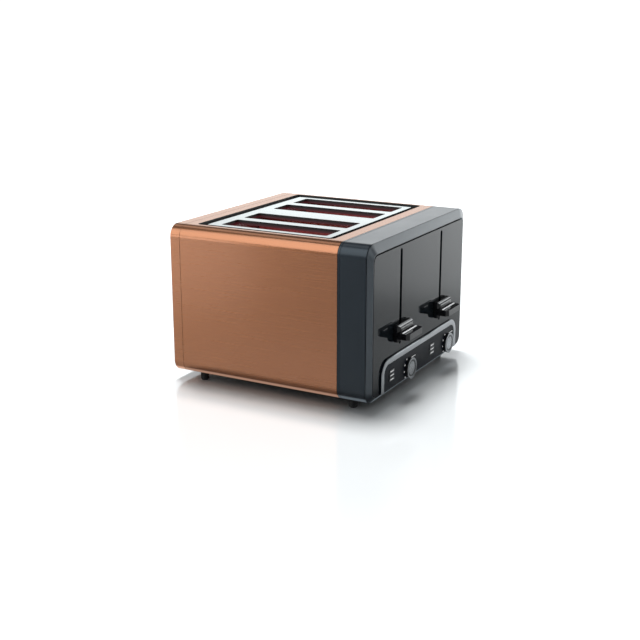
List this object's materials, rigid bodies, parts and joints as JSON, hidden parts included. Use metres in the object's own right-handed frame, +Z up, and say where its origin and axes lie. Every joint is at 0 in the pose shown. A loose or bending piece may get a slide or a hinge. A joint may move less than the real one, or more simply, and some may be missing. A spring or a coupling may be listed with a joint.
{
  "type": "pop up toaster",
  "caption": "Wide pop up toaster: copper-coloured wrap-round case, gloss front, two finger levers, dials and keys, toast slots in the top, crumb tray.",
  "frame": {"origin": "on the surface the toaster stands on, under the middle of its bounding box", "axes": "+Z up, -Y towards the levers (front), +X to the right seen from the front"},
  "size_m": [0.285, 0.29, 0.196],
  "materials": {
    "copper": "brushed copper-coloured steel, grain front to back",
    "anthracite": "satin anthracite",
    "gloss_black": "piano gloss",
    "control_gloss": "gloss",
    "bright_trim": "satin chrome",
    "black_plastic": "matte",
    "button_plastic": "satin",
    "dial_plastic": "fluted, satin",
    "dial_metal": "spun",
    "top_steel": "fine brushed",
    "well_black": "matte black",
    "rubber": "matte",
    "zinc_sheet": "zinc plated",
    "reflector_sheet": "bright, heat tinted",
    "mica": "mica board",
    "ribbon": "resistance ribbon, warm",
    "wire": "chromed wire",
    "coil": "enamelled copper winding",
    "circuit": "circuit board green",
    "spring_steel": "spring steel"
  },
  "bodies": {
    "root": {"outer_shell": "copper", "rear_band": "copper", "rear_panel": "anthracite", "cord_gland": "rubber", "front_frame": "anthracite", "front_panel": "gloss_black", "control_trim": "bright_trim", "control_panel": "control_gloss", "top_surround": "well_black", "top_plate": "top_steel", "base_plate": "black_plastic", "feet": "rubber", "front_bulkhead": "zinc_sheet", "rear_bulkhead": "zinc_sheet", "reflectors": "reflector_sheet", "heater_ribbons": "ribbon", "guide_rods": "wire", "control_board": "circuit", "base_screws": "zinc_sheet", "heater_board_left_inner": "mica", "heater_board_left_middle": "mica", "heater_board_left_outer": "mica", "heater_board_right_inner": "mica", "heater_board_right_middle": "mica", "heater_board_right_outer": "mica", "electromagnet_left": "coil", "electromagnet_right": "coil", "lift_spring_left": "spring_steel", "lift_spring_right": "spring_steel"},
    "crumb_tray": {"crumb_tray": "zinc_sheet", "tray_handle": "anthracite"},
    "carriage_left": {"carriage_bracket_left": "zinc_sheet", "armature_left": "zinc_sheet", "bread_racks_left": "zinc_sheet", "lever_left": "gloss_black", "lever_stripe_left": "bright_trim"},
    "bread_guide_left_inner_a": {"bread_guide_left_inner_a": "wire"},
    "bread_guide_left_inner_b": {"bread_guide_left_inner_b": "wire"},
    "bread_guide_left_outer_a": {"bread_guide_left_outer_a": "wire"},
    "bread_guide_left_outer_b": {"bread_guide_left_outer_b": "wire"},
    "dial_left": {"dial_knob_left": "dial_plastic", "dial_cap_left": "dial_metal"},
    "button_defrost_left": {"button_defrost_left": "button_plastic"},
    "button_reheat_left": {"button_reheat_left": "button_plastic"},
    "button_cancel_left": {"button_cancel_left": "button_plastic"},
    "carriage_right": {"carriage_bracket_right": "zinc_sheet", "armature_right": "zinc_sheet", "bread_racks_right": "zinc_sheet", "lever_right": "gloss_black", "lever_stripe_right": "bright_trim"},
    "bread_guide_right_inner_a": {"bread_guide_right_inner_a": "wire"},
    "bread_guide_right_inner_b": {"bread_guide_right_inner_b": "wire"},
    "bread_guide_right_outer_a": {"bread_guide_right_outer_a": "wire"},
    "bread_guide_right_outer_b": {"bread_guide_right_outer_b": "wire"},
    "dial_right": {"dial_knob_right": "dial_plastic", "dial_cap_right": "dial_metal"},
    "button_defrost_right": {"button_defrost_right": "button_plastic"},
    "button_reheat_right": {"button_reheat_right": "button_plastic"},
    "button_cancel_right": {"button_cancel_right": "button_plastic"}
  },
  "joints": [
    {"name": "crumb_tray_slide", "type": "slide", "parent": "root", "child": "crumb_tray", "axis": [0, 1, 0], "range_m": [0, 0.17]},
    {"name": "carriage_left_lift", "type": "slide", "parent": "root", "child": "carriage_left", "axis": [0, 0, 1], "range_m": [0, 0.08], "deforming": ["lift_spring_left"]},
    {"name": "bread_guide_left_inner_a_tilt", "type": "hinge", "parent": "root", "child": "bread_guide_left_inner_a", "pos_m": [-0.0502, 0.0315, 0.064], "axis": [0, 1, 0], "range_deg": [-4, 0]},
    {"name": "bread_guide_left_inner_b_tilt", "type": "hinge", "parent": "root", "child": "bread_guide_left_inner_b", "pos_m": [-0.0212, 0.0315, 0.064], "axis": [0, 1, 0], "range_deg": [0, 4]},
    {"name": "bread_guide_left_outer_a_tilt", "type": "hinge", "parent": "root", "child": "bread_guide_left_outer_a", "pos_m": [-0.1016, 0.0315, 0.064], "axis": [0, 1, 0], "range_deg": [-4, 0]},
    {"name": "bread_guide_left_outer_b_tilt", "type": "hinge", "parent": "root", "child": "bread_guide_left_outer_b", "pos_m": [-0.0726, 0.0315, 0.064], "axis": [0, 1, 0], "range_deg": [0, 4]},
    {"name": "dial_left_turn", "type": "hinge", "parent": "root", "child": "dial_left", "pos_m": [-0.0333, -0.1294, 0.0262], "axis": [0, 1, 0], "range_deg": [-135, 135]},
    {"name": "button_defrost_left_press", "type": "slide", "parent": "root", "child": "button_defrost_left", "axis": [0, 1, 0], "range_m": [0, 0.0012], "stiffness_N_per_m": 400},
    {"name": "button_reheat_left_press", "type": "slide", "parent": "root", "child": "button_reheat_left", "axis": [0, 1, 0], "range_m": [0, 0.0012], "stiffness_N_per_m": 400},
    {"name": "button_cancel_left_press", "type": "slide", "parent": "root", "child": "button_cancel_left", "axis": [0, 1, 0], "range_m": [0, 0.0012], "stiffness_N_per_m": 400},
    {"name": "carriage_right_lift", "type": "slide", "parent": "root", "child": "carriage_right", "axis": [0, 0, 1], "range_m": [0, 0.08], "deforming": ["lift_spring_right"]},
    {"name": "bread_guide_right_inner_a_tilt", "type": "hinge", "parent": "root", "child": "bread_guide_right_inner_a", "pos_m": [0.0212, 0.0315, 0.064], "axis": [0, 1, 0], "range_deg": [-4, 0]},
    {"name": "bread_guide_right_inner_b_tilt", "type": "hinge", "parent": "root", "child": "bread_guide_right_inner_b", "pos_m": [0.0502, 0.0315, 0.064], "axis": [0, 1, 0], "range_deg": [0, 4]},
    {"name": "bread_guide_right_outer_a_tilt", "type": "hinge", "parent": "root", "child": "bread_guide_right_outer_a", "pos_m": [0.0726, 0.0315, 0.064], "axis": [0, 1, 0], "range_deg": [-4, 0]},
    {"name": "bread_guide_right_outer_b_tilt", "type": "hinge", "parent": "root", "child": "bread_guide_right_outer_b", "pos_m": [0.1016, 0.0315, 0.064], "axis": [0, 1, 0], "range_deg": [0, 4]},
    {"name": "dial_right_turn", "type": "hinge", "parent": "root", "child": "dial_right", "pos_m": [0.0857, -0.1294, 0.0262], "axis": [0, 1, 0], "range_deg": [-135, 135]},
    {"name": "button_defrost_right_press", "type": "slide", "parent": "root", "child": "button_defrost_right", "axis": [0, 1, 0], "range_m": [0, 0.0012], "stiffness_N_per_m": 400},
    {"name": "button_reheat_right_press", "type": "slide", "parent": "root", "child": "button_reheat_right", "axis": [0, 1, 0], "range_m": [0, 0.0012], "stiffness_N_per_m": 400},
    {"name": "button_cancel_right_press", "type": "slide", "parent": "root", "child": "button_cancel_right", "axis": [0, 1, 0], "range_m": [0, 0.0012], "stiffness_N_per_m": 400}
  ],
  "couplings": [
    {"joint": "bread_guide_left_inner_a_tilt", "follows": "carriage_left_lift", "rad_per_m": -0.872},
    {"joint": "bread_guide_left_inner_b_tilt", "follows": "carriage_left_lift", "rad_per_m": 0.872},
    {"joint": "bread_guide_left_outer_a_tilt", "follows": "carriage_left_lift", "rad_per_m": -0.872},
    {"joint": "bread_guide_left_outer_b_tilt", "follows": "carriage_left_lift", "rad_per_m": 0.872},
    {"joint": "bread_guide_right_inner_a_tilt", "follows": "carriage_right_lift", "rad_per_m": -0.872},
    {"joint": "bread_guide_right_inner_b_tilt", "follows": "carriage_right_lift", "rad_per_m": 0.872},
    {"joint": "bread_guide_right_outer_a_tilt", "follows": "carriage_right_lift", "rad_per_m": -0.872},
    {"joint": "bread_guide_right_outer_b_tilt", "follows": "carriage_right_lift", "rad_per_m": 0.872}
  ]
}
